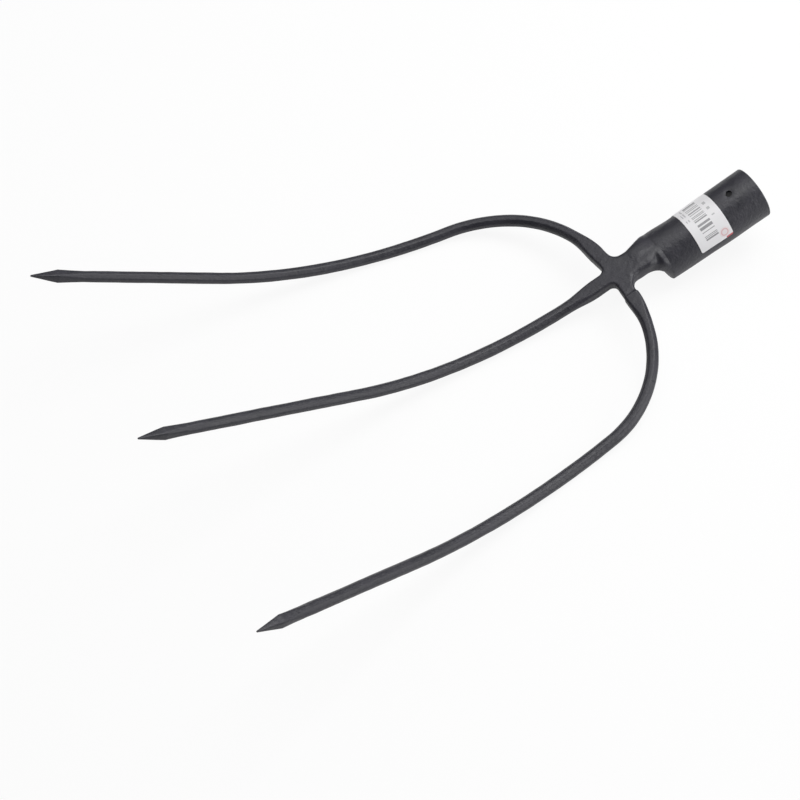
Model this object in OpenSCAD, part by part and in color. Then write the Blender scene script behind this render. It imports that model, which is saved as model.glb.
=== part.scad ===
// Head of a three-tine pitchfork: a round socket for the wooden handle, a forged
// cross-shaped hub, and three bar tines welded to the stubs of the hub.
// The blank is laid out flat and then pressed, so every tine has a side profile that
// runs straight out of the hub, round the arc of the belly and straight to the point.
// At rest the head lies on the bellies of its outer tines, with its points up.
// The tines point towards -X and the mouth of the socket towards +X.

/* [Tines] */
// Length of the centre tine along its profile, from the middle of the hub
centre_len = 385; // [250:1:450]
// Forward reach of the outer tines along the profile, from the middle of the hub
side_len = 387; // [250:1:450]
// Distance between the points of the outer tines
tip_spread = 307; // [260:1:400]
// Angle between an arm of the hub and the centre tine
arm_angle = 85; // [70:1:88]
// Distance from the middle of the hub to the start of the shoulder bend
arm_len = 26; // [25:1:50]
// Radius of the shoulder bend, seen from above
shoulder_r = 88; // [60:1:95]

/* [Bar section] */
// Thickness of the bar just past its root
bar_w = 7.9; // [6:0.1:10]
// Thickness of the bar just behind the point
bar_tip_w = 7.3; // [5:0.1:9]
// Bevel along the four edges of the bar
bar_bevel = 2.1; // [1:0.1:2.4]
// Width of the thickened root where the bar is welded on
root_w = 11.2; // [10:0.1:13]
// Length over which the root thins down to the bar
root_len = 46; // [25:1:70]
// Length of the four-sided point
point_len = 19; // [10:1:30]
// Thickness of the swell at the base of the point
point_w = 7.6; // [6:0.1:10]
// Thickness that is left at the very end of the point
point_end = 0.9; // [0.5:0.1:2]

/* [Side profile] */
// Slope of the socket and hub against the ground at rest
socket_tilt = 16.5; // [10:0.1:22]
// Slope of the straight front part of the outer tines against the ground
side_angle = 25.9; // [15:0.1:32]
// Slope of the straight front part of the centre tine against the ground
centre_angle = 23.6; // [15:0.1:32]
// Radius of the pressed belly of the outer tines
side_belly_r = 314; // [240:5:420]
// Radius of the pressed belly of the centre tine
centre_belly_r = 273; // [220:5:380]
// Length from the middle of the hub to the start of the belly
belly_start = 20.5; // [18:0.5:30]

/* [Hub] */
// Thickness of the forged cross
web_t = 9; // [7:0.5:12]
// Width of the stubs that the tines are welded to
stub_w = 10.6; // [8:0.1:12]
// Length of the outer stubs from the middle of the hub
side_stub = 19; // [17:0.5:24]
// Length of the centre stub from the middle of the hub
centre_stub = 17; // [16:0.5:22]
// Radius of the fillets between the stubs of the cross
crotch_r = 4.5; // [3.5:0.5:10]
// Radius of the fillets between the neck and the outer stubs
neck_r = 6; // [3:0.5:7]
// Width of the rounded edge of the cross
web_edge = 2.4; // [1:0.1:3]
// Width of the neck between the cross and the socket
neck_w = 20; // [15:0.5:24]
// Depth of the neck from top to bottom
neck_h = 14; // [12:0.5:20]
// Length from the middle of the hub to the start of the shoulder of the socket
neck_len = 13; // [12:0.5:18]
// Length of the shoulder that widens from the neck to the socket
flare_len = 22; // [14:0.5:30]

/* [Socket] */
// Length of the round tube
socket_len = 81.5; // [60:0.5:120]
// Outer diameter at the mouth
mouth_d = 39; // [36:0.5:46]
// Outer diameter where the tube meets the hub
throat_d = 36.5; // [30:0.5:39]
// Wall of the tube
socket_wall = 2; // [1.5:0.1:2.8]
// Length of the straight bore behind the mouth
bore_len = 28; // [20:1:45]
// Distance of the tube's axis below the mid plane of the cross
socket_offset = 15.7; // [14:0.1:20]
// Diameter of the hole for the nail that holds the handle
nail_d = 5; // [3:0.5:6]
// Distance of the nail hole from the mouth
nail_from_mouth = 19.5; // [8:0.5:24]
// Rounding of the rim, cut as a small bevel
rim_bevel = 0.4; // [0.2:0.1:0.7]

/* [Label] */
// Width of the paper label along the tube
label_w = 26.5; // [15:0.5:30]
// Length of the paper label round the tube
label_len = 55; // [30:1:70]
// Distance of the label from the mouth
label_from_mouth = 31.5; // [28:0.5:34]
// Thickness of the paper
label_t = 0.25; // [0.2:0.05:0.5]
// Layer of glue between the paper and the tube
glue_gap = 0.05; // [0.02:0.01:0.1]

/* [Hidden] */
$fn = 96;
black_paint = "#2b2c30";

// Rings along each tine, and steps round each fillet, along the shoulder and up the edge
tine_rings = 58;
crotch_steps = 8;
shoulder_steps = 9;
edge_steps = 14;
// Half width of the flat strip that is left along the top of the round end of the shoulder
half_ridge = 0.5;

function mix(a, b, t) = a + (b - a) * t;
function smooth(t) = t * t * (3 - 2 * t);
function clamp01(t) = min(max(t, 0), 1);
function unit(v) = v / norm(v);

// Pressed profile of a tine, s along it from the middle of the hub; side is 0, -1 or 1
function rise(side) = side == 0 ? centre_angle : side_angle;
function belly_r(side) = side == 0 ? centre_belly_r : side_belly_r;
function press_turn(side) = socket_tilt + rise(side);
function belly_end(side) = belly_start + belly_r(side) * press_turn(side) * PI / 180;
function slope(side, s) =
    clamp01((s - belly_start) / (belly_end(side) - belly_start)) * press_turn(side) - socket_tilt;
function profile_x(side, s) =
    -(min(s, belly_start) * cos(socket_tilt)
      + belly_r(side) * (sin(slope(side, s)) + sin(socket_tilt))
      + max(s - belly_end(side), 0) * cos(rise(side)));
function profile_z(side, s) =
    -min(s, belly_start) * sin(socket_tilt)
    + belly_r(side) * (cos(socket_tilt) - cos(slope(side, s)))
    + max(s - belly_end(side), 0) * sin(rise(side));
function sheet_normal(side, s) = [sin(slope(side, s)), 0, cos(slope(side, s))];

// Flat layout of an outer tine: arm, shoulder bend and a straight run that meets its point
bend_start = arm_len * [cos(arm_angle), sin(arm_angle)];
bend_centre = bend_start + shoulder_r * [sin(arm_angle), -cos(arm_angle)];
to_point = [side_len, tip_spread / 2] - bend_centre;
run_len = sqrt(to_point * to_point - shoulder_r * shoulder_r);
splay = atan2(to_point[1], to_point[0]) - atan2(shoulder_r, run_len);
bend_len = shoulder_r * (arm_angle - splay) * PI / 180;
side_total = arm_len + bend_len + run_len;

function side_turn(w) = arm_angle - clamp01((w - arm_len) / bend_len) * (arm_angle - splay);
function side_flat(w) =
    min(w, arm_len) * [cos(arm_angle), sin(arm_angle)]
    + shoulder_r * ([sin(arm_angle), -cos(arm_angle)] - [sin(side_turn(w)), -cos(side_turn(w))])
    + max(w - arm_len - bend_len, 0) * [cos(splay), sin(splay)];

// A place on a tine, w along its flat layout
function tine_flat(side, w) = side == 0 ? [w, 0] : side_flat(w);
function tine_at(side, w) =
    let (f = tine_flat(side, w))
    [profile_x(side, f[0]), side * f[1], profile_z(side, f[0])];
function tine_dir(side, w) = unit(tine_at(side, w + 0.5) - tine_at(side, w - 0.5));
function tine_up(side, w) =
    let (d = tine_dir(side, w), n = sheet_normal(side, tine_flat(side, w)[0]))
    unit(n - (n * d) * d);

// Width, height and bevel of a tine at w, of a tine of length total that starts at stub
function root_share(w, stub) = 1 - smooth(clamp01((w - stub) / root_len));
function bar_size(w, stub, total) =
    let (base = total - point_len,
         plain = mix(bar_w, bar_tip_w, clamp01((w - stub) / (base - stub))),
         swell = smooth(clamp01(1 - (base - w) / (1.5 * point_len))))
    mix(plain, point_w, swell);
function tine_w(w, stub, total) =
    w > total - point_len
    ? mix(point_w, point_end, (w - total + point_len) / point_len)
    : mix(bar_size(w, stub, total), root_w, root_share(w, stub));
function tine_h(w, stub, total) =
    w > total - point_len
    ? mix(point_w, point_end, (w - total + point_len) / point_len)
    : mix(bar_size(w, stub, total), web_t, root_share(w, stub));
function tine_bevel(w, stub, total) =
    let (to_base = clamp01((total - point_len - w) / point_len))
    min(mix(0.12 * tine_w(w, stub, total), bar_bevel, to_base), 0.45 * tine_w(w, stub, total));

function bevelled(w, h, c) =
    [[w / 2, h / 2 - c], [w / 2 - c, h / 2], [c - w / 2, h / 2], [-w / 2, h / 2 - c],
     [-w / 2, c - h / 2], [c - w / 2, -h / 2], [w / 2 - c, -h / 2], [w / 2, c - h / 2]];

// Places of the rings: even spacing, with one ring at the base of the point
function ring_places(stub, total) =
    [for (i = [0:tine_rings - 1]) mix(stub, total - point_len, i / (tine_rings - 1)), total];
function tine_ring(side, w, stub, total) =
    let (p = tine_at(side, w), d = tine_dir(side, w), up = tine_up(side, w), across = cross(up, d))
    [for (q = bevelled(tine_w(w, stub, total), tine_h(w, stub, total), tine_bevel(w, stub, total)))
        p + q[0] * across + q[1] * up];

// The ground is z = 0 under the middle of the box of the head, which rests on the bellies
// of the outer tines and on the lower corner of the socket, where the tube ends
belly_low = min([for (w = ring_places(side_stub, side_total))
    tine_at(1, w)[2] - tine_h(w, side_stub, side_total) / 2]);
throat_x = neck_len + flare_len;
mouth_x = throat_x + socket_len;
function under_tube(x, d) = x * sin(socket_tilt) - (socket_offset + d / 2) * cos(socket_tilt);
lowest = min(belly_low, under_tube(throat_x, throat_d), under_tube(mouth_x, mouth_d));
front = min(profile_x(0, centre_len), profile_x(1, side_len));
rear = mouth_x * cos(socket_tilt) + (socket_offset + mouth_d / 2) * sin(socket_tilt);
module at_rest() { translate([-(front + rear) / 2, 0, -lowest]) children(); }

// Local frame of hub and socket: +x runs to the mouth, z is square to the cross
module hub_frame() { rotate([0, -socket_tilt, 0]) children(); }
module socket_frame() {
    hub_frame() translate([mouth_x, 0, -socket_offset]) rotate([0, -90, 0]) children();
}

// Skin of a solid from a list of rings with the same number of points each; cover holds the
// faces that close the first ring, and the last ring gets the same ones turned over
module loft(rings, cover) {
    n = len(rings[0]);
    last = (len(rings) - 1) * n;
    sides = [for (i = [0:n:last - n], k = [0:n - 1])
        [i + k, i + n + k, i + n + (k + 1) % n, i + (k + 1) % n]];
    lid = [for (f = cover) [for (k = [len(f) - 1:-1:0]) last + f[k]]];
    polyhedron(points = [for (r = rings) each r], faces = concat(sides, cover, lid), convexity = 6);
}

module tine(side, stub, total) {
    color(black_paint) at_rest()
        loft([for (w = ring_places(stub, total)) tine_ring(side, w, stub, total)],
            [[for (k = [0:7]) k]]);
}
module centre_tine() { tine(0, centre_stub, centre_len); }
module left_tine() { tine(-1, side_stub, side_total); }
module right_tine() { tine(1, side_stub, side_total); }

// The hub is one skin. Its plan outline is a list of places, each with a point and the
// direction inwards, and over each place stands the same number of points up the edge.
arms = [[0, neck_w / 2, 0], [180 - arm_angle, stub_w / 2, side_stub], [180, stub_w / 2, centre_stub]];

// A corner of the welded end of an arm, on the side given by 1 or -1
function arm_corner(i, hand) =
    let (a = arms[i], along = [cos(a[0]), sin(a[0])], across = hand * [-sin(a[0]), cos(a[0])])
    [along * a[2] + across * a[1], -across];

// The fillet of radius r between arm i and the next one, which touches both their edges
function crotch(i, r) =
    let (a = arms[i], b = arms[i + 1],
         n = [-sin(a[0]), cos(a[0])], m = [sin(b[0]), -cos(b[0])],
         det = n[0] * m[1] - n[1] * m[0],
         centre = [(a[1] + r) * m[1] - (b[1] + r) * n[1], n[0] * (b[1] + r) - m[0] * (a[1] + r)] / det)
    [for (k = [0:crotch_steps])
        let (turn = mix(a[0] + 270, b[0] + 90, k / crotch_steps), d = [cos(turn), sin(turn)])
        [centre + r * d, d]];

// The edge of the shoulder, from the round tube (t = 1) to the neck (t = 0)
function shoulder_edge(t) = [[mix(neck_len, throat_x, t), mix(neck_w, throat_d, pow(t, 1.7)) / 2], [0, -1]];

neck_side = concat([for (i = [shoulder_steps:-1:0]) shoulder_edge(i / shoulder_steps)], crotch(0, neck_r));
right_side = concat(
    neck_side, [arm_corner(1, -1), arm_corner(1, 1)], crotch(1, crotch_r), [arm_corner(2, -1)]);
outline = concat(right_side, [for (i = [len(right_side) - 1:-1:0])
    [for (v = right_side[i]) [v[0], -v[1]]]]);

// Top and underside of the hub at x: level over the cross, deep at the neck, round at the tube
heel_x = neck_side[len(neck_side) - 1][0][0];
function to_tube(x) = clamp01((x - neck_len) / flare_len);
function hub_top(x) = mix(web_t / 2, throat_d / 2 - socket_offset, smooth(to_tube(x)));
function hub_under(x) =
    x < neck_len
    ? -mix(web_t / 2, neck_h - web_t / 2, smooth(clamp01((x - heel_x) / (neck_len - heel_x))))
    : mix(web_t / 2 - neck_h, -socket_offset - throat_d / 2, pow(to_tube(x), 5));

// How far the rounding reaches in from the edge: from the rim of the cross to the middle
function edge_share(x) = 1 - pow(1 - clamp01((x - heel_x) / (throat_x - heel_x)), 2.5);

// A point of the edge over one place, phi up the edge from -90 at the underside to 90 at the
// top; the edge is boxy round the cross and the arc of a circle at the tube
function edge_point(place, phi) =
    let (x = place[0][0], t = to_tube(x), power = 2 / mix(4, 2, pow(t, 3)),
         depth = mix(web_edge, abs(place[0][1]) - half_ridge, edge_share(x)),
         middle = (hub_top(x) + hub_under(x)) / 2, half = (hub_top(x) - hub_under(x)) / 2)
    concat(place[0] + depth * (1 - pow(cos(phi), power)) * place[1],
        middle + half * sign(phi) * pow(abs(sin(phi)), power));

// The top and the underside are strips across the neck, then one flat face over the cross
module hub() {
    rings = [for (j = [0:edge_steps])
        [for (place = outline) edge_point(place, mix(-90, 90, j / edge_steps))]];
    n = len(outline);
    strips = len(neck_side) - 1;
    cover = concat([for (i = [0:strips - 1]) [i, i + 1, n - 2 - i, n - 1 - i]],
        [[for (k = [strips:n - 1 - strips]) k]]);
    color(black_paint) at_rest() hub_frame() loft(rings, cover);
}

// Tube of the socket, h measured from the mouth inwards
module socket() {
    outer = mouth_d / 2;
    inner = outer - socket_wall;
    throat = throat_d / 2;
    color(black_paint) at_rest() socket_frame() difference() {
        rotate_extrude() polygon([
            [inner, 0], [outer - rim_bevel, 0], [outer, rim_bevel], [outer, bore_len],
            [throat, socket_len], [throat - socket_wall, socket_len], [inner, bore_len]]);
        translate([0, 0, nail_from_mouth]) rotate([0, 90, 0])
            cylinder(h = mouth_d, d = nail_d, $fn = 48);
    }
}

// Paper label glued over the top of the tube
function tube_r(h) = mix(mouth_d, throat_d, clamp01((h - bore_len) / (socket_len - bore_len))) / 2;
module label() {
    near = label_from_mouth;
    far = near + label_w;
    turn = label_len / (PI * mouth_d) * 360;
    near_r = tube_r(near) + glue_gap;
    far_r = tube_r(far) + glue_gap;
    color("white") at_rest() socket_frame() rotate(-turn / 2) rotate_extrude(angle = turn)
        polygon([[near_r, near], [near_r + label_t, near], [far_r + label_t, far], [far_r, far]]);
}

socket();
hub();
centre_tine();
left_tine();
right_tine();
label();
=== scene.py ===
"""Looks of a three-tine pitchfork head, black painted steel with a paper label, on a stage."""

import math

import bmesh
import bpy
from bpy.props import FloatProperty, FloatVectorProperty, IntProperty, PointerProperty
from mathutils import Matrix, Vector, noise


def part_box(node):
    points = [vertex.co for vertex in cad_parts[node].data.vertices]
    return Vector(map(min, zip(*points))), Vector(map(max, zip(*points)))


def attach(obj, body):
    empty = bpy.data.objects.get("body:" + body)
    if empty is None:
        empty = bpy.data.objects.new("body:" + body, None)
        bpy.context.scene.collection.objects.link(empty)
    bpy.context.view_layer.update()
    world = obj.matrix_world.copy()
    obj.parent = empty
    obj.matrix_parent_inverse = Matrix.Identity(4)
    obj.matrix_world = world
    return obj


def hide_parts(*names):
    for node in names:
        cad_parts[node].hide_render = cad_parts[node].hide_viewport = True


bl_info = {
    "name": "Pitchfork Head",
    "version": (1, 0, 0),
    "blender": (4, 5, 0),
    "location": "3D View > Sidebar > Pitchfork",
    "description": "Builds the painted steel head of a three-tine pitchfork with its paper label",
    "category": "Add Mesh",
}

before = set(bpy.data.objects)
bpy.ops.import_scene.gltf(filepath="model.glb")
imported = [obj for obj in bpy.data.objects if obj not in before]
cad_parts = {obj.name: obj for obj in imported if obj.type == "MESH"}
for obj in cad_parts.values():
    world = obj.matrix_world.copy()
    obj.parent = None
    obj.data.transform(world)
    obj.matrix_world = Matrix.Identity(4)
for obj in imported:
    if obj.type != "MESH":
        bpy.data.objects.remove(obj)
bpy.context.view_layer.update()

MM = 0.001
MATH = "ShaderNodeMath"
LEFT, CENTRE, RIGHT = -1, 0, 1
# Bumps of the forged and rolled surfaces: width of the broad ones, width of the fine ones, and
# height of the fine ones as a share of the broad ones
TINE_BUMPS = (26 * MM, 8 * MM, 0.6)
HUB_BUMPS = (9 * MM, 3.5 * MM, 0.5)
TUBE_BUMPS = (24 * MM, 7 * MM, 0.3)


def srgb(text):
    """Linear RGBA of an sRGB colour written as a hex text."""
    parts = [int(text[i : i + 2], 16) / 255 for i in (1, 3, 5)]
    return [c / 12.92 if c <= 0.04045 else ((c + 0.055) / 1.055) ** 2.4 for c in parts] + [1.0]


def length(name, description, millimetres):
    """A length that a user can change."""
    return FloatProperty(
        name=name, description=description, default=millimetres * MM, subtype="DISTANCE"
    )


def angle(name, description, degrees):
    """An angle that a user can change."""
    return FloatProperty(
        name=name, description=description, default=math.radians(degrees), subtype="ANGLE"
    )


def colour(name, description, text):
    """A colour that a user can change."""
    linear = srgb(text)
    return FloatVectorProperty(
        name=name, description=description, default=linear, size=4, min=0, max=1, subtype="COLOR"
    )


class TineSizes(bpy.types.PropertyGroup):
    """Sizes of the three tines and of the curve they are pressed to"""

    centre_len: length("Centre length", "Centre tine along its profile, from the hub's middle", 385)
    side_len: length("Side reach", "Hub's middle to the line between the points, laid flat", 387)
    tip_spread: length("Tip spread", "Distance between the points of the outer tines", 307)
    arm_angle: angle("Arm angle", "Angle between an arm of the hub and the centre tine", 85)
    arm_len: length("Arm length", "Middle of the hub to the start of the shoulder bend", 26)
    shoulder_r: length("Shoulder radius", "Radius of the shoulder bend, seen from above", 88)
    bar_w: length("Bar", "Thickness of the bar just past its root", 8.4)
    bar_tip_w: length("Bar at the point", "Thickness of the bar just behind the point", 7.8)
    bar_bevel: length("Bar bevel", "Bevel along the four edges of the bar", 2.45)
    root_bevel: length("Root bevel", "Bevel along the edges of the root", 1.3)
    bevel_start: length("Bevel start", "Weld to the place where the bevel begins to grow", 5)
    bevel_run: length("Bevel run", "Length over which the bevel grows", 16)
    edge_round: length("Edge rounding", "How far the paint rounds off each edge of the bevel", 0.75)
    root_w: length("Root width", "Width of the thickened root", 11.2)
    root_len: length("Root length", "Length over which the root thins down", 27)
    point_len: length("Point", "Length of the four-sided point", 19)
    point_w: length("Point base", "Thickness of the swell at the base of the point", 6.95)
    point_end: length("Point end", "Thickness left at the very end of the point", 0.9)
    socket_tilt: angle("Socket tilt", "Slope of the socket and hub against the ground", 16.5)
    side_angle: angle("Side slope", "Slope of the front of the outer tines", 25.9)
    centre_angle: angle("Centre slope", "Slope of the front of the centre tine", 23.6)
    side_belly_r: length("Side belly", "Radius of the pressed belly of the outer tines", 314)
    centre_belly_r: length("Centre belly", "Radius of the pressed belly of the centre tine", 273)
    belly_start: length("Belly start", "Middle of the hub to the start of the belly", 20.5)
    hammer: length("Hammer marks", "Depth of the unevenness left by the forging", 0.16)


class HubSizes(bpy.types.PropertyGroup):
    """Sizes of the forged cross and its shoulder"""

    web_t: length("Cross thickness", "Thickness of the forged cross", 9)
    left_w: length("Left stub", "Width of the left stub, narrower than the bar welded to it", 10.2)
    stub_w: length("Other stubs", "Width of the centre and right stub, flush with the bars", 11.1)
    side_stub: length("Side stub length", "Outer stubs from the middle of the hub", 21.5)
    centre_stub: length("Centre stub length", "Centre stub from the middle of the hub", 17)
    crotch_r: length("Front fillets", "Fillets between the stubs", 4.3)
    right_neck_r: length("Right neck fillet", "Fillet between the neck and the right stub", 5.6)
    left_neck_r: length("Left neck fillet", "Fillet between the neck and the left stub", 8.5)
    edge_w: length("Edge", "Width of the rounded edge of the cross", 2.4)
    right_neck: length("Neck, right half", "Half width of the neck on its right side", 10.2)
    left_neck: length("Neck, left half", "Half width of the neck on its left side", 10.8)
    neck_h: length("Neck depth", "Depth of the neck", 13.6)
    neck_len: length("Neck length", "Middle of the hub to the start of the shoulder", 13.8)
    shoulder_len: length("Shoulder length", "Length of the shoulder that widens to the tube", 21.2)
    hump: length("Shoulder hump", "How far the shoulder's top stands up on its right side", 0.9)
    fold_depth: length("Fold depth", "Depth of the fold in the left side of the shoulder", 1.55)
    crease_depth: length("Crease depth", "Depth of the crease between neck and left stub", 0.3)
    weld_depth: length("Weld depth", "Depth of the groove beside the weld of the left tine", 0.5)
    hammer: length("Hammer marks", "Depth of the unevenness left by the forging", 0.2)
    voxel: length("Voxel", "Size of the faces of the hub's skin", 0.5)


class SocketSizes(bpy.types.PropertyGroup):
    """Sizes of the round tube that takes the handle"""

    tube_len: length("Length", "Length of the tube", 81.5)
    mouth_d: length("Mouth", "Outer diameter at the mouth", 39)
    throat_d: length("Throat", "Outer diameter where the tube meets the hub", 36.5)
    wall: length("Wall", "Wall of the tube", 2)
    straight: length("Straight part", "Length of the straight part behind the mouth", 28)
    offset: length("Offset", "Axis of the tube below the mid plane of the cross", 15.7)
    nail_d: length("Nail hole", "Diameter of the nail hole", 5)
    nail_place: length("Nail place", "Distance of the nail hole from the mouth", 19.5)
    nail_dish: length("Nail dish", "How far the punch pulled in the edge of the hole", 0.45)
    rim_round: length("Rim rounding", "Rounding of the rim", 0.45)
    uneven: length("Unevenness", "How far the rolled tube is out of round", 0.18)
    bulge: length("Bulge", "How far the right side of the inner end stands out", 1.4)
    bulge_len: length("Bulge length", "Length over which the bulge dies away", 22)
    segments: IntProperty(name="Segments", description="Faces round the tube", default=168, min=24)


class LabelSizes(bpy.types.PropertyGroup):
    """Sizes of the paper label and its print"""

    width: length("Width", "Width along the tube", 26.5)
    wrap: length("Wrap", "Length round the tube", 55)
    place: length("Place", "Distance from the mouth", 31.5)
    paper: length("Paper", "Thickness of the paper", 0.2)
    glue: length("Glue", "Layer of glue under the paper", 0.06)
    corner: length("Corner", "Rounding of the corners", 1.6)


class FinishColours(bpy.types.PropertyGroup):
    """Colours of the paint, the label and the stage"""

    paint: colour("Paint", "Black enamel", "#25252c")
    paint_dull: colour("Dull paint", "Where the enamel is thin over the forging scale", "#302f37")
    scuff: colour("Scuff", "Rubbed specks in the enamel", "#4b4a4f")
    # Painted shade: near black for the inside of the tube, in place of the shade there
    bore_painted_shade: colour("Painted bore shade", "The inside of the tube", "#101012")
    paper: colour("Paper", "Coated label paper", "#e6e5e7")
    ink: colour("Ink", "Grey print", "#77777a")
    red: colour("Red corner", "Red print in one corner", "#c9636a")
    floor: colour("Floor", "Matt floor", "#f2f2f2")


def mix(a, b, t):
    """From a to b while t goes from 0 to 1."""
    return a + (b - a) * t


def clamp01(t):
    return min(max(t, 0.0), 1.0)


def smooth(t):
    """Eases a share in and out between 0 and 1."""
    return t * t * (3 - 2 * t)


def ramp(value, start, run):
    """Rises smoothly from 0 at start to 1 at run past it."""
    return smooth(clamp01((value - start) / run))


def unevenness(place, bumps):
    """Smooth noise on both sides of 0, of broad bumps with fine ones over them."""
    broad, fine, share = bumps
    return noise.noise(place / broad) + share * noise.noise(place / fine)


def add(tree, kind, inputs=None, **settings):
    """Adds a node to a tree, sets its settings, and sets or links its inputs."""
    node = tree.nodes.new(kind)
    for name, value in settings.items():
        setattr(node, name, value)
    for socket, value in (inputs or {}).items():
        if isinstance(value, bpy.types.NodeSocket):
            tree.links.new(value, node.inputs[socket])
        else:
            node.inputs[socket].default_value = value
    return node


def new_material(name):
    """A material with an empty tree, and its output node."""
    old = bpy.data.materials.get(name)
    if old:
        bpy.data.materials.remove(old)
    material = bpy.data.materials.new(name)
    material.use_nodes = True
    material.node_tree.nodes.clear()
    return material, add(material.node_tree, "ShaderNodeOutputMaterial")


def black_enamel():
    """Black stoving enamel over forged steel, dipped and baked: satin, a touch uneven where
    the film runs thin over the forging scale, with a few rubbed specks."""
    material = bpy.data.materials.get("black_enamel")
    if material:
        return material
    colours = bpy.context.scene.fork_colours
    material, output = new_material("black_enamel")
    tree = material.node_tree
    place = add(tree, "ShaderNodeTexCoord").outputs["Object"]
    # Clouds 14 mm wide where the film is thicker or thinner
    cloud = add(
        tree,
        "ShaderNodeTexNoise",
        {"Vector": place, "Scale": 1 / (14 * MM), "Detail": 5.0, "Roughness": 0.6},
    ).outputs["Fac"]
    thin = add(
        tree, "ShaderNodeMapRange", {"Value": cloud, "From Min": 0.35, "From Max": 0.7}
    ).outputs["Result"]
    gloss = add(
        tree,
        "ShaderNodeMapRange",
        {"Value": cloud, "From Min": 0.3, "From Max": 0.7, "To Min": 0.4, "To Max": 0.52},
    ).outputs["Result"]
    # Rubbed specks about 1.5 mm wide, few of them
    speck = add(
        tree,
        "ShaderNodeTexNoise",
        {"Vector": place, "Scale": 1 / (1.5 * MM), "Detail": 2.0, "Roughness": 0.5},
    ).outputs["Fac"]
    rubbed = add(
        tree,
        "ShaderNodeMapRange",
        {"Value": speck, "From Min": 0.66, "From Max": 0.78, "To Max": 0.55},
    ).outputs["Result"]
    # Painted shade: faces inside the tube take a near-black colour in place of the shade that falls
    # in there, so the bore and the nail hole read black
    blank_paper_or_bore_shade = add(tree, "ShaderNodeAttribute", attribute_name="inside").outputs["Fac"]
    coat = colours.paint[:]
    for share, layer in (
        (thin, colours.paint_dull),
        (rubbed, colours.scuff),
        (blank_paper_or_bore_shade, colours.bore_painted_shade),
    ):
        inputs = {"Factor": share, "A": coat, "B": layer[:]}
        coat = add(tree, "ShaderNodeMix", inputs, data_type="RGBA").outputs["Result"]
    # Forging scale in bumps 3 mm wide under the film, and the film's own peel, 0.7 mm wide
    scale = add(
        tree,
        "ShaderNodeTexNoise",
        {"Vector": place, "Scale": 1 / (3 * MM), "Detail": 3.0, "Roughness": 0.55},
    ).outputs["Fac"]
    scaled = add(
        tree, "ShaderNodeBump", {"Height": scale, "Strength": 0.8, "Distance": 0.5 * MM}
    ).outputs["Normal"]
    peel = add(
        tree,
        "ShaderNodeTexNoise",
        {"Vector": place, "Scale": 1 / (0.7 * MM), "Detail": 1.0, "Roughness": 0.5},
    ).outputs["Fac"]
    normal = add(
        tree,
        "ShaderNodeBump",
        {"Height": peel, "Strength": 0.25, "Distance": 0.1 * MM, "Normal": scaled},
    ).outputs["Normal"]
    shader = add(
        tree,
        "ShaderNodeBsdfPrincipled",
        {"Base Color": coat, "Roughness": gloss, "Normal": normal, "IOR": 1.5, "Metallic": 0.0},
    )
    tree.links.new(shader.outputs["BSDF"], output.inputs["Surface"])
    return material


# Print on the label, in millimetres: u runs inwards from the edge near the mouth, v round the
# tube from the left edge. A block is its first and last u, then v. Each kind of grey block is
# its pitch along v, the share of its steps that stays bare, how strong the ink is, and the
# blocks. A real code's bars are half as wide, and real words finer than the dashes, which the
# render couldn't show.
GREY_PRINT = (
    (0.55, 0.45, 0.8, ((9.6, 19.8, 7.5, 42.0),)),
    (1.1, 0.4, 0.5, ((4.6, 6.9, 21.0, 34.5), (21.6, 22.6, 24.0, 43.0), (23.6, 24.3, 24.0, 36.0))),
)
RED_EDGE, EDGE_INK = (0.0, 5.5, 0.0, 1.5), 1.0
RING_CENTRE, RING_RADIUS, RING_LINE, RING_INK = (5.5, 5.7), 2.5, 0.8, 0.45
TINT_RADIUS, TINT_INK = 4.0, 0.12

# How white the floor shows to the eye and in reflections
FLOOR_TO_EYE, FLOOR_IN_GLOSS = 0.9, 0.48
WHITE = "#ffffff"


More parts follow.
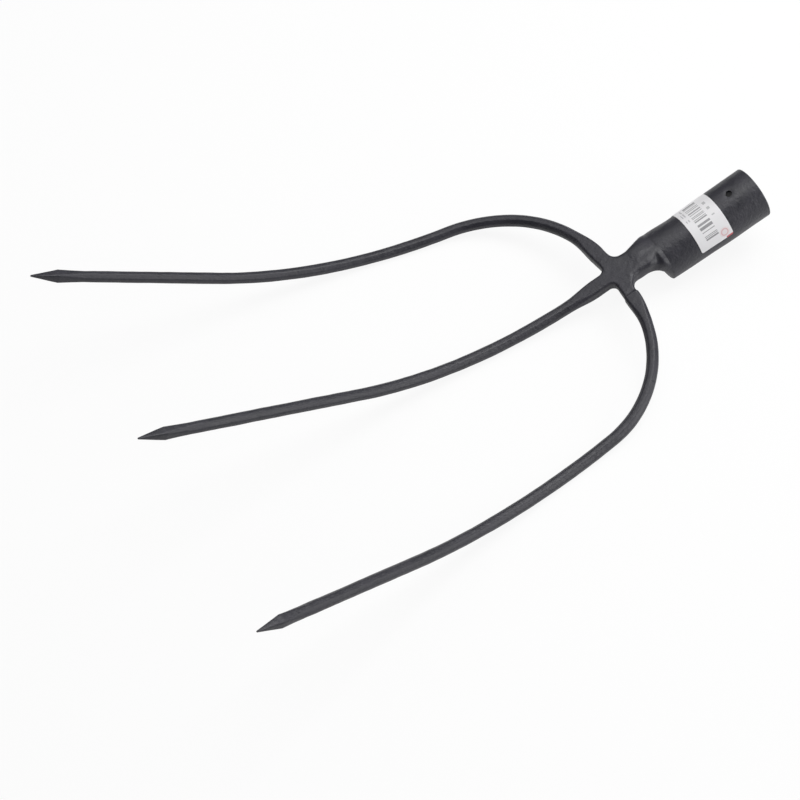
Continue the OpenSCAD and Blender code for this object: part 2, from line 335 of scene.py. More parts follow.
def label_paper():
    """Coated paper, printed: a smooth white sheet with a soft gloss, grey bars across the
    middle, broken grey lines beside them and one corner with a red ring and edge."""
    material = bpy.data.materials.get("printed_paper")
    if material:
        return material
    colours = bpy.context.scene.fork_colours
    material, output = new_material("printed_paper")
    tree = material.node_tree
    sheet_place = add(tree, "ShaderNodeUVMap", uv_map="sheet").outputs["UV"]
    sheet = add(tree, "ShaderNodeSeparateXYZ", {"Vector": sheet_place})
    along, around = sheet.outputs["X"], sheet.outputs["Y"]

    def inside(low_u, high_u, low_v, high_v):
        """1 within a block of print, and 0 outside it."""
        share = 1.0
        for value, limit, test in (
            (along, low_u, "GREATER_THAN"),
            (along, high_u, "LESS_THAN"),
            (around, low_v, "GREATER_THAN"),
            (around, high_v, "LESS_THAN"),
        ):
            hit = add(tree, MATH, {0: value, 1: limit}, operation=test).outputs[0]
            share = add(tree, MATH, {0: share, 1: hit}, operation="MULTIPLY").outputs[0]
        return share

    def dice(value, pitch):
        """A fixed random number for each step of pitch along value."""
        step = add(tree, MATH, {0: value, 1: 1 / pitch}, operation="MULTIPLY").outputs[0]
        step = add(tree, MATH, {0: step}, operation="FLOOR").outputs[0]
        return add(
            tree, "ShaderNodeTexWhiteNoise", {"W": step}, noise_dimensions="1D"
        ).outputs["Value"]

    def printed(face, share, ink, strength):
        """The face with ink over it where share is 1."""
        amount = add(tree, MATH, {0: share, 1: strength}, operation="MULTIPLY").outputs[0]
        inputs = {"Factor": amount, "A": face, "B": ink[:]}
        return add(tree, "ShaderNodeMix", inputs, data_type="RGBA").outputs["Result"]

    face = colours.paper[:]
    for pitch, blank_paper_or_bore_shade, strength, blocks in GREY_PRINT:
        inputs = {0: dice(around, pitch), 1: blank_paper_or_bore_shade}
        inked = add(tree, MATH, inputs, operation="GREATER_THAN").outputs[0]
        for block in blocks:
            inputs = {0: inked, 1: inside(*block)}
            share = add(tree, MATH, inputs, operation="MULTIPLY").outputs[0]
            face = printed(face, share, colours.ink, strength)
    # A red ring with a faint round tint behind it, and the red edge
    inputs = {0: sheet_place, 1: (*RING_CENTRE, 0.0)}
    away = add(tree, "ShaderNodeVectorMath", inputs, operation="DISTANCE").outputs["Value"]
    tint = add(tree, MATH, {0: away, 1: TINT_RADIUS}, operation="LESS_THAN").outputs[0]
    off_ring = add(tree, MATH, {0: away, 1: RING_RADIUS}, operation="SUBTRACT").outputs[0]
    off_ring = add(tree, MATH, {0: off_ring}, operation="ABSOLUTE").outputs[0]
    ring = add(tree, MATH, {0: off_ring, 1: RING_LINE / 2}, operation="LESS_THAN").outputs[0]
    for share, strength in ((tint, TINT_INK), (ring, RING_INK), (inside(*RED_EDGE), EDGE_INK)):
        face = printed(face, share, colours.red, strength)
    # Paper fibres make soft ripples about 4 mm wide where it follows the tube
    place = add(tree, "ShaderNodeTexCoord").outputs["Object"]
    inputs = {"Vector": place, "Scale": 1 / (4 * MM), "Detail": 2.0}
    ripple = add(tree, "ShaderNodeTexNoise", inputs).outputs["Fac"]
    inputs = {"Height": ripple, "Strength": 0.3, "Distance": 0.15 * MM}
    normal = add(tree, "ShaderNodeBump", inputs).outputs["Normal"]
    inputs = {"Base Color": face, "Roughness": 0.45, "IOR": 1.45, "Normal": normal}
    shader = add(tree, "ShaderNodeBsdfPrincipled", inputs)
    tree.links.new(shader.outputs["BSDF"], output.inputs["Surface"])
    return material


def matt_floor():
    """Matt seamless paper, blown out by its own backlight as in a product photo: white to the
    eye and in reflections, with the object's shadow left faint."""
    material, output = new_material("matt_floor")
    tree = material.node_tree
    tone = bpy.context.scene.fork_colours.floor[:]
    inputs = {"Base Color": tone, "Roughness": 0.95, "Specular IOR Level": 0.0}
    sheet = add(tree, "ShaderNodeBsdfPrincipled", inputs)
    white = add(tree, "ShaderNodeEmission", {"Color": srgb(WHITE), "Strength": 1.0})
    ray = add(tree, "ShaderNodeLightPath")
    inputs = {0: ray.outputs["Is Camera Ray"], 1: FLOOR_TO_EYE}
    eye = add(tree, MATH, inputs, operation="MULTIPLY").outputs[0]
    inputs = {0: ray.outputs["Is Glossy Ray"], 1: FLOOR_IN_GLOSS}
    gloss = add(tree, MATH, inputs, operation="MULTIPLY").outputs[0]
    share = add(tree, MATH, {0: eye, 1: gloss}, operation="MAXIMUM").outputs[0]
    inputs = {0: share, 1: sheet.outputs["BSDF"], 2: white.outputs["Emission"]}
    both = add(tree, "ShaderNodeMixShader", inputs)
    tree.links.new(both.outputs["Shader"], output.inputs["Surface"])
    return material


def sizes():
    """Sizes of the tines, the hub and the tube."""
    scene = bpy.context.scene
    return scene.fork_tines, scene.fork_hub, scene.fork_socket


def hub_matrix():
    """From the hub's own axes, +x to the mouth and z square to the cross, to the frame. The
    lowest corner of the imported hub, where the tube ends, gives its place."""
    tines, hub, tube = sizes()
    turn = Matrix.Rotation(-tines.socket_tilt, 4, "Y")
    corner = turn @ Vector((hub.neck_len + hub.shoulder_len, 0, -tube.offset - tube.throat_d / 2))
    low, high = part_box("hub")
    return Matrix.Translation((high.x - corner.x, 0, low.z - corner.z)) @ turn


def new_piece(name, points, faces, material):
    """A mesh object with smooth faces and sharp folds."""
    mesh = bpy.data.meshes.new(name)
    mesh.from_pydata([tuple(p) for p in points], [], faces)
    mesh.validate()
    mesh.materials.append(material)
    piece = bpy.data.objects.new(name, mesh)
    bpy.context.scene.collection.objects.link(piece)
    finish_faces(piece)
    return piece


def finish_faces(piece, sharp=40):
    """Outward normals, smooth shading, and sharp edges where faces meet at over sharp degrees."""
    mesh = piece.data
    skin = bmesh.new()
    skin.from_mesh(mesh)
    bmesh.ops.recalc_face_normals(skin, faces=skin.faces)
    skin.to_mesh(mesh)
    skin.free()
    mesh.shade_smooth()
    mesh.set_sharp_from_angle(angle=math.radians(sharp))


def apply_modifiers(piece):
    """Replaces the piece's mesh by the one its modifiers give."""
    scene_state = bpy.context.evaluated_depsgraph_get()
    mesh = bpy.data.meshes.new_from_object(piece.evaluated_get(scene_state))
    old = piece.data
    piece.modifiers.clear()
    piece.data = mesh
    bpy.data.meshes.remove(old)


def loft_faces(rings, count):
    """Quads between rings of count points each, in the order of the rings."""
    faces = []
    for low in range(0, (rings - 1) * count, count):
        high = low + count
        for k in range(count):
            after = (k + 1) % count
            faces.append((low + k, high + k, high + after, low + after))
    return faces


def loft_solid(points, rings):
    """Adds rings of points to those of a mesh, and gives the faces of their skin and two ends."""
    start, count = len(points), len(rings[0])
    points += [p for ring in rings for p in ring]
    last = (len(rings) - 1) * count
    ends = [range(count), range(last + count - 1, last - 1, -1)]
    return [tuple(start + k for k in face) for face in loft_faces(len(rings), count) + ends]


def dress(piece, node):
    """The piece stands for a CAD node and rides with it."""
    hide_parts(node)
    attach(piece, "root")


# Path of a tine: laid out flat, then pressed


def pressed(tines, side, s):
    """x, z and slope of the pressed profile at s along it, from the middle of the hub."""
    rise = tines.side_angle if side else tines.centre_angle
    radius = tines.side_belly_r if side else tines.centre_belly_r
    tilt, start = tines.socket_tilt, tines.belly_start
    end = start + radius * (tilt + rise)
    slope = clamp01((s - start) / (end - start)) * (tilt + rise) - tilt
    x = min(s, start) * math.cos(tilt) + radius * (math.sin(slope) + math.sin(tilt))
    z = -min(s, start) * math.sin(tilt) + radius * (math.cos(tilt) - math.cos(slope))
    past = max(s - end, 0)
    return -x - past * math.cos(rise), z + past * math.sin(rise), slope


def side_layout(tines):
    """Flat layout of an outer tine: bend centre, splay, length of the bend and whole length."""
    a, r = tines.arm_angle, tines.shoulder_r
    start = Vector((math.cos(a), math.sin(a))) * tines.arm_len
    centre = start + Vector((math.sin(a), -math.cos(a))) * r
    to_point = Vector((tines.side_len, tines.tip_spread / 2)) - centre
    run = math.sqrt(to_point.length_squared - r * r)
    splay = math.atan2(to_point.y, to_point.x) - math.atan2(r, run)
    bend = r * (a - splay)
    return centre, splay, bend, tines.arm_len + bend + run


def tine_place(tines, side, w, origin):
    """A point on the middle line of a tine, w along it, and the normal of the pressed sheet."""
    s, y = w, 0.0
    if side:
        centre, splay, bend, _ = side_layout(tines)
        turn = mix(tines.arm_angle, splay, clamp01((w - tines.arm_len) / bend))
        if w < tines.arm_len:
            flat = Vector((math.cos(turn), math.sin(turn))) * w
        else:
            flat = centre - Vector((math.sin(turn), -math.cos(turn))) * tines.shoulder_r
            flat += Vector((math.cos(splay), math.sin(splay))) * max(w - tines.arm_len - bend, 0)
        s, y = flat
    x, z, slope = pressed(tines, side, s)
    return origin + Vector((x, side * y, z)), Vector((math.sin(slope), 0, math.cos(slope)))


# Largest share of a face of the bar that the rounding of each of its edges takes
ROUNDED = 0.35
# Distance between the rings of a bar, rings of its point, and how they crowd at its base
RING_PITCH, POINT_RINGS, POINT_CROWDING = 1.5 * MM, 22, 1.15
# Bevel at the very point and largest bevel, as shares of the bar's thickness
POINT_BEVEL, LARGEST_BEVEL = 0.12, 0.45
# The bar runs over to the swell of its point within this many lengths of the point
SWELL_RUN = 1.5
# Hammer marks set in over this length from the weld, and this share of them reaches the point
MARKS_START, POINT_MARKS = 4 * MM, 0.25


def bar_section(width, height, bevel, rounding):
    """Outline of a bevelled bar with rounded edges: four points for each of its eight faces."""
    w, h = width / 2, height / 2
    corners = [Vector(c) for c in (
        (w, h - bevel), (w - bevel, h), (bevel - w, h), (-w, h - bevel),
        (-w, bevel - h), (bevel - w, -h), (w - bevel, -h), (w, bevel - h))]
    outline = []
    for i, corner in enumerate(corners):
        back, ahead = corners[i - 1] - corner, corners[(i + 1) % len(corners)] - corner
        start = corner + back.normalized() * min(rounding, ROUNDED * back.length)
        end = corner + ahead.normalized() * min(rounding, ROUNDED * ahead.length)
        outline += [start, (start + end) / 4 + corner / 2, end, corner + ahead / 2]
    return outline


def build_tine(name, side):
    """One drawn bar with a thick root and a four-sided point, a little uneven from the hammer."""
    tines, hub, _ = sizes()
    stub = hub.side_stub if side else hub.centre_stub
    total = side_layout(tines)[3] if side else tines.centre_len
    base = total - tines.point_len
    origin = hub_matrix().translation
    steps = round((base - stub) / RING_PITCH)
    places = [mix(stub, base, i / steps) for i in range(steps)]
    places += [
        mix(base, total, (i / POINT_RINGS) ** POINT_CROWDING) for i in range(POINT_RINGS + 1)
    ]
    rings = []
    for w in places:
        middle, normal = tine_place(tines, side, w, origin)
        # The bar's direction, over one millimetre of it
        after, before = (tine_place(tines, side, w + d * MM, origin)[0] for d in (0.5, -0.5))
        ahead = (after - before).normalized()
        up = (normal - ahead * normal.dot(ahead)).normalized()
        across = up.cross(ahead)
        plain = mix(tines.bar_w, tines.bar_tip_w, clamp01((w - stub) / (base - stub)))
        swell = smooth(clamp01(1 - (base - w) / (SWELL_RUN * tines.point_len)))
        root = 1 - ramp(w, stub, tines.root_len)
        size = mix(plain, tines.point_w, swell)
        width, height = mix(size, tines.root_w, root), mix(size, hub.web_t, root)
        if w > base:
            width = height = mix(tines.point_w, tines.point_end, (w - base) / tines.point_len)
        to_base = clamp01((base - w) / tines.point_len)
        grown = ramp(w - stub, tines.bevel_start, tines.bevel_run)
        bevel = mix(POINT_BEVEL * width, mix(tines.root_bevel, tines.bar_bevel, grown), to_base)
        bevel = min(bevel, LARGEST_BEVEL * width)
        from_end = clamp01((total - w) / tines.point_len)
        marked = clamp01((w - stub) / MARKS_START) * mix(POINT_MARKS, 1, from_end)
        ring = []
        for q in bar_section(width, height, bevel, tines.edge_round):
            flat = across * q.x + up * q.y
            point = middle + flat
            bump = unevenness(point, TINE_BUMPS)
            ring.append(point + flat.normalized() * bump * tines.hammer * marked)
        rings.append(ring)
    points = []
    faces = loft_solid(points, rings)
    piece = new_piece(name, points, faces, black_enamel())
    piece.modifiers.new("flat facets", "WEIGHTED_NORMAL").keep_sharp = True
    return piece


# Marks on the hub, in millimetres in its own axes: +x to the mouth, +z square to the cross.
# The fold runs down from its apex over its foot, and across it the neck is on one side and
# the ridge on the other.
FOLD_APEX = (30.2, -4.8, 2.7)
FOLD_FOOT = (25.0, -13.4, -2.4)
FOLD_ACROSS = (7.4, -3.8, -6.2)
# Half width at the apex and at the foot, and share of it from the middle to the lowest line
FOLD_WIDTHS, FOLD_BOTTOM = (1.6, 7.2), 0.05
# Start and run of each fade: down from the apex, out past the foot, and up from the underside
FOLD_ENTRY, FOLD_EXIT, FOLD_ABOVE = (-0.2, 1 / 1.5), (0.6, 0.75), (-7.5, 4.5)
# Two ends of each line, and how wide it is
RIDGE = ((34.0, -6.5, 1.6), (32.6, -15.3, -4.0), 2.0)
CREASE = ((8.4, -9.0, 4.4), (6.8, -11.8, -1.0), 1.2)
WELD = ((-5.5, -20.2, 4.5), (3.2, -19.6, 4.0), 1.3)
DENT, DENT_SIZE = (19.4, -7.6, 3.4), 2.6
RIDGE_HEIGHT, DENT_DEPTH = 0.15 * MM, 0.2 * MM
# The hub's own hammer marks fade out over this length before each joint
JOINT_FADE = 3 * MM

# Shape of the neck and shoulder. How late each half of the shoulder widens, as a power
RIGHT_FULLNESS, LEFT_FULLNESS = 1.6, 2.6
# Powers of the section, square at the cross and round at the tube, and how soon it turns round
SQUARE, ROUND, TURN_ROUND = 3.4, 2, 2.2
# How soon the rounded edge takes up the half width, and how late the underside falls, as powers
EDGE_GROWTH, LATE_FALL = 2.2, 4
# Half of the strip that stays flat along the middle, and the hump's share on the left
FLAT_STRIP, LEFT_HUMP = 0.5 * MM, 0.5
# Steps along each edge of the shoulder, round each fillet, and up the edge of the hub
SHOULDER_STEPS, FILLET_STEPS, EDGE_STEPS = 22, 16, 24

# Outline of the hub in its own axes: each place is a point and the direction inwards


def arm_corner(direction, half_width, reach, hand):
    """A corner of an arm's welded end; hand is 1 on the arm's left side and -1 on its right."""
    along = Vector((math.cos(direction), math.sin(direction)))
    across = Vector((-along.y, along.x)) * hand
    return along * reach + across * half_width, -across


def crotch(first, second, radius, steps):
    """The fillet between two arms, given as (direction, half width), that touches both edges."""
    (a, p), (b, q) = first, second
    n, m = Vector((-math.sin(a), math.cos(a))), Vector((math.sin(b), -math.cos(b)))
    det = n.x * m.y - n.y * m.x
    centre = Vector((
        ((p + radius) * m.y - (q + radius) * n.y) / det,
        (n.x * (q + radius) - m.x * (p + radius)) / det))
    places = []
    for k in range(steps + 1):
        turn = mix(a + 1.5 * math.pi, b + 0.5 * math.pi, k / steps)
        d = Vector((math.cos(turn), math.sin(turn)))
        places.append((centre + d * radius, d))
    return places


def hub_arms(hub, tines):
    """Direction and reach of each welded arm of the hub."""
    arm = math.pi - tines.arm_angle
    return (arm, hub.side_stub), (math.pi, hub.centre_stub), (-arm, hub.side_stub)


def hub_side(hub, tube, tines, hand):
    """Half of the outline, from the tube round to the centre stub, and how much of it is on the
    neck's side. The left half of the shoulder is slimmer, and the left stub narrower than its
    bar."""
    if hand == RIGHT:
        fullness, stub = RIGHT_FULLNESS, hub.stub_w / 2
        neck, fillet = hub.right_neck, hub.right_neck_r
    else:
        fullness, stub = LEFT_FULLNESS, hub.left_w / 2
        neck, fillet = hub.left_neck, hub.left_neck_r
    end = tube_radius(tube, tube.tube_len, -hand * math.pi / 2)
    edge = []
    for i in range(SHOULDER_STEPS, -1, -1):
        t = i / SHOULDER_STEPS
        half = mix(neck, end, t**fullness)
        edge.append((Vector((hub.neck_len + t * hub.shoulder_len, half)), Vector((0, -1))))
    arm = math.pi - tines.arm_angle
    neck_side = edge + crotch((0, neck), (arm, stub), fillet, FILLET_STEPS)
    side = (
        neck_side
        + [arm_corner(arm, stub, hub.side_stub, -1), arm_corner(arm, stub, hub.side_stub, 1)]
        + crotch((arm, stub), (math.pi, hub.stub_w / 2), hub.crotch_r, FILLET_STEPS)
        + [arm_corner(math.pi, hub.stub_w / 2, hub.centre_stub, -1)]
    )
    return side, len(neck_side)


def swell_at(place, centre, size):
    """A round swelling from 0 to 1, about as wide as size."""
    return math.exp(-((place - centre).length_squared / size**2))


def along_line(place, first, second, size):
    """A rounded welt from 0 to 1 along the line between two points."""
    a, b = Vector(first), Vector(second)
    t = clamp01((place - a).dot(b - a) / (b - a).length_squared)
    return swell_at(place, mix(a, b, t), size)


def fold_share(mm):
    """Share of the fold's depth at a place of the hub in millimetres, all on its left side."""
    if mm.y >= -1:
        return 0.0
    apex = Vector(FOLD_APEX)
    reach = Vector(FOLD_FOOT) - apex
    down = (mm - apex).dot(reach) / reach.length_squared
    width = mix(*FOLD_WIDTHS, clamp01(down))
    side = (mm - apex - reach * down).dot(Vector(FOLD_ACROSS).normalized()) / width
    flank = min((1 - side) / (1 - FOLD_BOTTOM), (1 + side) / (1 + FOLD_BOTTOM))
    fade = ramp(down, *FOLD_ENTRY) * (1 - ramp(down, *FOLD_EXIT)) * ramp(mm.z, *FOLD_ABOVE)
    return smooth(clamp01(flank)) * fade


def hub_marks(hub, place):
    """How far the surface stands out or in at a place of the hub, from the marks of the work:
    the fold in the left of the shoulder and the ridge beside it, a dent in front of them, the
    crease behind the left stub and the groove beside its weld."""
    mm = place / MM
    out = RIDGE_HEIGHT * along_line(mm, *RIDGE) - hub.fold_depth * fold_share(mm)
    out -= DENT_DEPTH * swell_at(mm, Vector(DENT), DENT_SIZE)
    out -= hub.crease_depth * along_line(mm, *CREASE)
    out -= hub.weld_depth * along_line(mm, *WELD)
    return out


def hub_skin(hub, tube, tines):
    """Points and faces of the hub's own body: rings up its edge, closed on top and below."""
    right, strips = hub_side(hub, tube, tines, RIGHT)
    left, _ = hub_side(hub, tube, tines, LEFT)
    outline = right + [(Vector((p.x, -p.y)), Vector((d.x, -d.y))) for p, d in reversed(left)]
    heel = max(right[strips - 1][0].x, left[strips - 1][0].x)
    throat = hub.neck_len + hub.shoulder_len
    deep = hub.neck_h - hub.web_t / 2
    points = []
    for j in range(EDGE_STEPS + 1):
        phi = mix(-math.pi / 2, math.pi / 2, j / EDGE_STEPS)
        for p, inwards in outline:
            t = clamp01((p.x - hub.neck_len) / hub.shoulder_len)
            top = mix(hub.web_t / 2, tube.throat_d / 2 - tube.offset, smooth(t))
            top += hub.hump * math.sin(math.pi * t) * (1 if p.y > 0 else LEFT_HUMP)
            if p.x < hub.neck_len:
                under = -mix(hub.web_t / 2, deep, ramp(p.x, heel, hub.neck_len - heel))
            else:
                under = mix(-deep, -tube.offset - tube.throat_d / 2, t**LATE_FALL)
            power = 2 / mix(SQUARE, ROUND, t**TURN_ROUND)
            share = 1 - (1 - clamp01((p.x - heel) / (throat - heel))) ** EDGE_GROWTH
            depth = mix(hub.edge_w, abs(p.y) - FLAT_STRIP, share)
            flat = p + inwards * depth * (1 - max(math.cos(phi), 0) ** power)
            rise = math.copysign(abs(math.sin(phi)) ** power, phi)
            points.append(Vector((flat.x, flat.y, (top + under) / 2 + (top - under) / 2 * rise)))
    n = len(outline)
    cover = [(i, i + 1, n - 2 - i, n - 1 - i) for i in range(strips - 1)]
    cover.append(tuple(range(strips - 1, n - strips + 1)))
    last = EDGE_STEPS * n
    faces = loft_faces(EDGE_STEPS + 1, n) + cover
    faces += [tuple(last + k for k in reversed(face)) for face in cover]
    return points, faces


def neighbour_ends(hub, tube, tines):
    """The first few millimetres of the tube and the tines as rings of points, so the hub's
    skin runs smoothly into them before it is trimmed at the joints. Each comes with the place
    and the outward direction of its joint."""
    overlap, past = 0.6 * MM, 3 * MM
    throat = hub.neck_len + hub.shoulder_len
    count = 96
    rings = []
    for h in (tube.tube_len + d for d in (overlap, 0, -past / 2, -past)):
        turns = (2 * math.pi * k / count for k in range(count))
        rings.append([socket_place(h, tube_radius(tube, h, turn), turn) for turn in turns])
    yield rings, Vector((throat, 0, 0)), Vector((1, 0, 0))
    section = bar_section(tines.root_w, hub.web_t, tines.root_bevel, tines.edge_round)
    for direction, reach in hub_arms(hub, tines):
        along = Vector((math.cos(direction), math.sin(direction), 0))
        across = Vector((-along.y, along.x, 0))
        rings = [
            [along * w + across * q.x + Vector((0, 0, q.y)) for q in section]
            for w in (reach - overlap, reach, reach + past / 2, reach + past)
        ]
        yield rings, along * reach, along


def build_hub():
    """The forged cross, neck and shoulder as one skin, remeshed fine and marked by the hammer."""
    tines, hub, tube = sizes()
    points, faces = hub_skin(hub, tube, tines)
    joints = []
    for rings, place, outwards in neighbour_ends(hub, tube, tines):
        faces += loft_solid(points, rings)
        joints.append((place, outwards))
    piece = new_piece("forged_hub", points, faces, black_enamel())
    remesh = piece.modifiers.new("even skin", "REMESH")
    remesh.mode = "VOXEL"
    remesh.voxel_size = hub.voxel
    soften = piece.modifiers.new("soften", "SMOOTH")
    soften.factor = 0.5
    soften.iterations = 6
    apply_modifiers(piece)
    moved = []
    for v in piece.data.vertices:
        # The hammer marks fade out at the joints, so the neighbours stay flush
        gap = min((place - v.co).dot(outwards) for place, outwards in joints)
        hammered = unevenness(v.co, HUB_BUMPS) * hub.hammer * clamp01(gap / JOINT_FADE)
        moved.append(v.co + v.normal * (hammered + hub_marks(hub, v.co)))
    for v, place in zip(piece.data.vertices, moved):
        v.co = place
    skin = bmesh.new()
    skin.from_mesh(piece.data)
    for place, outwards in joints:
        whole = skin.verts[:] + skin.edges[:] + skin.faces[:]
        cut = bmesh.ops.bisect_plane(
            skin, geom=whole, plane_co=place, plane_no=outwards, clear_outer=True
        )
        rim = [e for e in cut["geom_cut"] if isinstance(e, bmesh.types.BMEdge)]
        bmesh.ops.holes_fill(skin, edges=rim, sides=0)
    skin.to_mesh(piece.data)
    skin.free()
    piece.data.transform(hub_matrix())
    finish_faces(piece, 60)
    return piece


# The bulge at the tube's inner end lies this far round to the right of the top, and the dish
# of the nail hole dies away over this length
BULGE_TURN, DISH_RUN = math.radians(62), 1.1 * MM


def tube_radius(tube, h, turn):
    """Outer radius of the tube at h from the mouth and turn round it from the top."""
    taper = clamp01((h - tube.straight) / (tube.tube_len - tube.straight))
    radius = mix(tube.mouth_d, tube.throat_d, taper) / 2
    place = Vector((math.sin(turn) * radius, math.cos(turn) * radius, h))
    radius += tube.uneven * unevenness(place, TUBE_BUMPS)
    # The forging pushed the right side of the tube's end out
    near_end = smooth(clamp01(1 - (tube.tube_len - h) / tube.bulge_len))
    radius += tube.bulge * near_end * max(math.cos(turn + BULGE_TURN), 0) ** 2
    if math.cos(turn) <= 0:
        return radius
    # The punch pulled the edge of the nail hole in
    past = math.hypot(h - tube.nail_place, math.sin(turn) * radius) - tube.nail_d / 2
    return radius - tube.nail_dish * math.exp(-((max(past, 0) / DISH_RUN) ** 2))


def socket_place(h, radius, turn):
    """A point in the hub's axes, h inwards from the mouth. Turn is 0 at the top, and positive
    to the left."""
    _, hub, tube = sizes()
    mouth = hub.neck_len + hub.shoulder_len + tube.tube_len
    return Vector((mouth - h, -math.sin(turn) * radius, math.cos(turn) * radius - tube.offset))


def build_socket():
    """A rolled tube with a rounded rim, a little out of round, and the punched nail hole."""
    tube = bpy.context.scene.fork_socket
    r = tube.rim_round
    # Profile from the throat over the rim and back inside: h and depth below the outer skin
    outer_steps, inner_steps = 84, 40
    profile = [(mix(tube.tube_len, r, i / outer_steps), 0.0) for i in range(outer_steps + 1)]
    for a in (0.4, 0.8, 1.2, math.pi / 2):
        profile.append((r * (1 - math.sin(a)), r * (1 - math.cos(a))))
    for a in (0.1, 0.5, 1.0, 1.5):
        profile.append((r * (1 - math.cos(a)), tube.wall - r * (1 - math.sin(a))))
    for i in range(inner_steps):
        profile.append((mix(r, tube.tube_len, (i + 1) / inner_steps), tube.wall))
    count = tube.segments
    points = []
    for h, depth in profile:
        for k in range(count):
            turn = 2 * math.pi * k / count
            points.append(socket_place(h, tube_radius(tube, h, turn) - depth, turn))
    faces = loft_faces(len(profile), count)
    last = (len(profile) - 1) * count
    faces += [(k, (k + 1) % count, last + (k + 1) % count, last + k) for k in range(count)]
    piece = new_piece("socket_tube", points, faces, black_enamel())

    punch_mesh = bpy.data.meshes.new("punch")
    skin = bmesh.new()
    half, long = tube.nail_d / 2, tube.mouth_d / 2
    bmesh.ops.create_cone(
        skin, cap_ends=True, segments=48, radius1=half, radius2=half, depth=long
    )
    skin.to_mesh(punch_mesh)
    skin.free()
    punch = bpy.data.objects.new("punch", punch_mesh)
    punch_mesh.transform(Matrix.Translation(socket_place(tube.nail_place, tube.mouth_d / 2, 0)))
    bpy.context.scene.collection.objects.link(punch)
    cut = piece.modifiers.new("nail hole", "BOOLEAN")
    cut.operation = "DIFFERENCE"
    cut.solver = "EXACT"
    cut.object = punch
    apply_modifiers(piece)
    bpy.data.objects.remove(punch)
    bpy.data.meshes.remove(punch_mesh)
    # Painted shade: the enamel's material turns near black on the faces that look towards the
    # tube's axis, in place of the shade inside the tube
    blank_paper_or_bore_shade = piece.data.attributes.new("inside", "FLOAT", "FACE")
    axis = socket_place(tube.nail_place, 0, 0)
    for face in piece.data.polygons:
        away = (face.center - axis).yz
        looks_in = away.dot(face.normal.yz) < -0.5 * away.length
        blank_paper_or_bore_shade.data[face.index].value = float(looks_in)
    piece.data.transform(hub_matrix())
    finish_faces(piece)
    return piece


def build_label():
    """A thin sheet with rounded corners that follows the tube, and its own flat coordinates."""
    scene = bpy.context.scene
    tube, label = scene.fork_socket, scene.fork_label
    middle_r = tube.mouth_d / 2
    rows, columns = 110, 30
    points, flat = [], []
    for thickness in (label.glue, label.glue + label.paper):
        for i in range(rows + 1):
            # Rows crowd towards both ends, where the corners round off
            v = label.wrap * (0.5 - 0.5 * math.cos(math.pi * i / rows))
            end = min(v, label.wrap - v, label.corner)
            pull = label.corner - math.sqrt(max(label.corner**2 - (label.corner - end) ** 2, 0))
            for j in range(columns + 1):
                u = mix(pull, label.width - pull, j / columns)
                turn = (label.wrap / 2 - v) / middle_r
                radius = tube_radius(tube, label.place + u, turn) + thickness
                points.append(socket_place(label.place + u, radius, turn))
                flat.append((u / MM, v / MM))
    width = columns + 1
    layer = (rows + 1) * width

    def cell(i, j, base):
        a = base + i * width + j
        return (a, a + 1, a + width + 1, a + width)

    faces = [cell(i, j, layer) for i in range(rows) for j in range(columns)]
    faces += [tuple(reversed(cell(i, j, 0))) for i in range(rows) for j in range(columns)]
    rim = list(range(columns)) + [i * width + columns for i in range(rows)]
    rim += [rows * width + j for j in range(columns, 0, -1)]
    rim += [i * width for i in range(rows, 0, -1)]
    faces += [(a, b, layer + b, layer + a) for a, b in zip(rim, rim[1:] + rim[:1])]
    piece = new_piece("paper_label", points, faces, label_paper())
    sheet = piece.data.uv_layers.new(name="sheet")
    for loop in piece.data.loops:
        sheet.data[loop.index].uv = flat[loop.vertex_index]
    piece.data.transform(hub_matrix())
    return piece


def remove_old(*names):
    """Clears pieces of an earlier run, so an operator can be used again."""
    for name in names:
        old = bpy.data.objects.get(name)
        if old:
            bpy.data.objects.remove(old)


class PITCHFORK_OT_tines(bpy.types.Operator):
    """Build the left, centre and right tines"""

    bl_idname = "pitchfork.tines"
    bl_label = "Tines"

    def execute(self, context):
        for name, side in (("left_tine", LEFT), ("centre_tine", CENTRE), ("right_tine", RIGHT)):
            remove_old(name + "_bar")
            dress(build_tine(name + "_bar", side), name)
        return {"FINISHED"}


class PITCHFORK_OT_hub(bpy.types.Operator):
    """Build the forged hub with its neck and shoulder"""

    bl_idname = "pitchfork.hub"
    bl_label = "Hub"

    def execute(self, context):
        remove_old("forged_hub")
        dress(build_hub(), "hub")
        return {"FINISHED"}


class PITCHFORK_OT_socket(bpy.types.Operator):
    """Build the round socket with its nail hole"""

    bl_idname = "pitchfork.socket"
    bl_label = "Socket"

    def execute(self, context):
        remove_old("socket_tube")
        dress(build_socket(), "socket")
        return {"FINISHED"}


class PITCHFORK_OT_label(bpy.types.Operator):
    """Build the paper label on the socket"""

    bl_idname = "pitchfork.label"
    bl_label = "Label"

    def execute(self, context):
        remove_old("paper_label")
        dress(build_label(), "label")
        return {"FINISHED"}


# Softboxes round the middle of the floor: name, power in watts, azimuth and elevation
SOFTBOXES = (
    ("rear_softbox", 13.5, 10, 56),
    ("top_softbox", 7.0, 0, 90),
    ("side_softbox", 11.0, -45, 24),
    ("far_softbox", 4.0, 90, 55),
)
SOFTBOX_AWAY, SOFTBOX_SIZE = 1.6, 0.9
# Level of the white world on the object
SKY_LIGHT = 0.08
FLOOR_HALF = 3.0
# The camera's angles in degrees, its distance from the middle of the hub in metres, and where
# that middle lies in the photograph, in pixels
CAMERA_AZIMUTH, CAMERA_ELEVATION, CAMERA_AWAY = -31.15, 55, 1.4
HUB_PIXEL, FOCAL_PIXELS, HALF_FRAME = (616.5, 274.3), 2000.0, 400.0


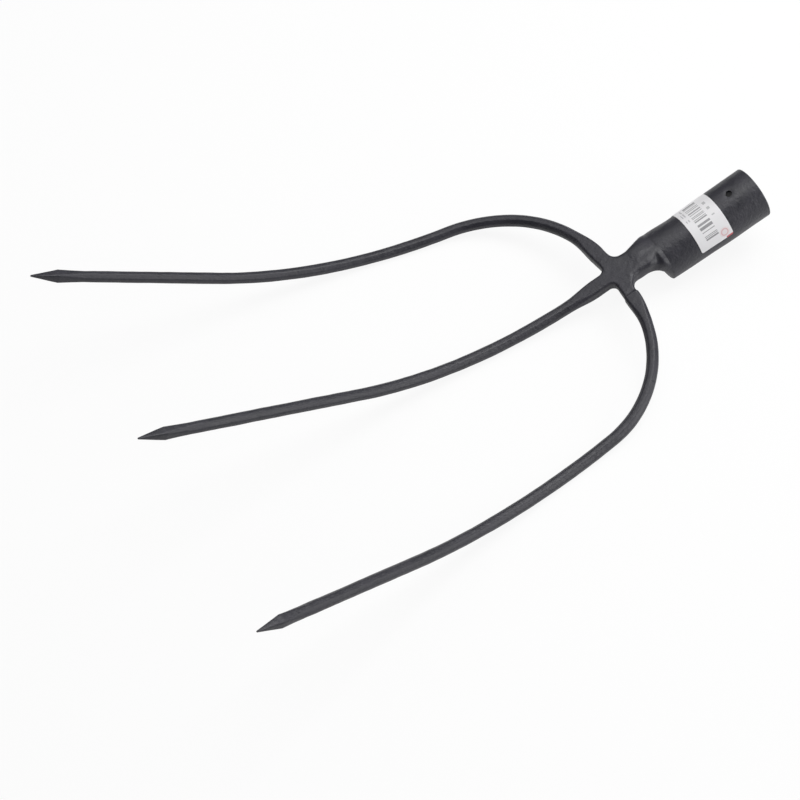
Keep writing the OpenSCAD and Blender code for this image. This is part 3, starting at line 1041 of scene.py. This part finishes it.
class PITCHFORK_OT_stage(bpy.types.Operator):
    """Set up the floor, the lights and the camera"""

    bl_idname = "pitchfork.stage"
    bl_label = "Stage"

    def execute(self, context):
        remove_old("floor", "photo_camera", *(name for name, *_ in SOFTBOXES))
        self.floor()
        self.lights(context)
        self.camera(context)
        context.scene.view_settings.view_transform = "Standard"
        return {"FINISHED"}

    def floor(self):
        low, high = -FLOOR_HALF, FLOOR_HALF
        corners = [(low, low, 0), (high, low, 0), (high, high, 0), (low, high, 0)]
        floor = new_piece("floor", corners, [(0, 1, 2, 3)], matt_floor())

    def lights(self, context):
        world = context.scene.world or bpy.data.worlds.new("studio")
        context.scene.world = world
        world.use_nodes = True
        tree = world.node_tree
        tree.nodes.clear()
        # White to the camera, and a weak even light to the object
        ray = add(tree, "ShaderNodeLightPath")
        inputs = {0: ray.outputs["Is Camera Ray"], 1: SKY_LIGHT}
        level = add(tree, MATH, inputs, operation="MAXIMUM").outputs["Value"]
        sky = add(tree, "ShaderNodeBackground", {"Color": srgb(WHITE), "Strength": level})
        add(tree, "ShaderNodeOutputWorld", {"Surface": sky.outputs["Background"]})
        for name, power, azimuth, elevation in SOFTBOXES:
            a, e = math.radians(azimuth), math.radians(elevation)
            place = Vector((math.cos(e) * math.cos(a), math.cos(e) * math.sin(a), math.sin(e)))
            place *= SOFTBOX_AWAY
            light = bpy.data.lights.new(name, "AREA")
            light.size = SOFTBOX_SIZE
            light.energy = power
            lamp = bpy.data.objects.new(name, light)
            lamp.location = place
            lamp.rotation_euler = (-place).to_track_quat("-Z", "Y").to_euler()
            context.scene.collection.objects.link(lamp)

    def camera(self, context):
        """The camera of the photograph: a 90 mm lens, 1.4 m from the hub and 55 degrees up."""
        a, e = math.radians(CAMERA_AZIMUTH), math.radians(CAMERA_ELEVATION)
        right = Vector((math.cos(a), math.sin(a), 0))
        back = Vector((math.sin(a) * math.cos(e), -math.cos(a) * math.cos(e), math.sin(e)))
        up = back.cross(right)
        aside = (HUB_PIXEL[0] - HALF_FRAME) * CAMERA_AWAY / FOCAL_PIXELS
        above = (HALF_FRAME - HUB_PIXEL[1]) * CAMERA_AWAY / FOCAL_PIXELS
        place = hub_matrix().translation - right * aside - up * above + back * CAMERA_AWAY
        lens = bpy.data.cameras.new("photo_camera")
        lens.sensor_width = 36.0
        lens.lens = FOCAL_PIXELS / (2 * HALF_FRAME) * lens.sensor_width
        lens.clip_end = 20.0
        camera = bpy.data.objects.new("photo_camera", lens)
        turn = Matrix((right, up, back)).transposed().to_4x4()
        camera.matrix_world = Matrix.Translation(place) @ turn
        context.scene.collection.objects.link(camera)
        context.scene.camera = camera


class PITCHFORK_PT_panel(bpy.types.Panel):
    """Sizes, colours and build buttons of the pitchfork head"""

    bl_idname = "PITCHFORK_PT_panel"
    bl_label = "Pitchfork Head"
    bl_space_type = "VIEW_3D"
    bl_region_type = "UI"
    bl_category = "Pitchfork"

    def draw(self, context):
        for operator in OPERATORS:
            self.layout.operator(operator.bl_idname)
        for name, _ in SETTINGS:
            box = self.layout.box()
            group = getattr(context.scene, name)
            for prop in group.__annotations__:
                box.prop(group, prop)


OPERATORS = (
    PITCHFORK_OT_tines,
    PITCHFORK_OT_hub,
    PITCHFORK_OT_socket,
    PITCHFORK_OT_label,
    PITCHFORK_OT_stage,
)
SETTINGS = (
    ("fork_tines", TineSizes),
    ("fork_hub", HubSizes),
    ("fork_socket", SocketSizes),
    ("fork_label", LabelSizes),
    ("fork_colours", FinishColours),
)


def register():
    for name, group in SETTINGS:
        bpy.utils.register_class(group)
        setattr(bpy.types.Scene, name, PointerProperty(type=group))
    for operator in OPERATORS:
        bpy.utils.register_class(operator)
    bpy.utils.register_class(PITCHFORK_PT_panel)


def unregister():
    bpy.utils.unregister_class(PITCHFORK_PT_panel)
    for operator in reversed(OPERATORS):
        bpy.utils.unregister_class(operator)
    for name, group in reversed(SETTINGS):
        delattr(bpy.types.Scene, name)
        bpy.utils.unregister_class(group)


def main():
    register()
    bpy.ops.pitchfork.tines()
    bpy.ops.pitchfork.hub()
    bpy.ops.pitchfork.socket()
    bpy.ops.pitchfork.label()
    bpy.ops.pitchfork.stage()


if __name__ == "__main__":
    main()
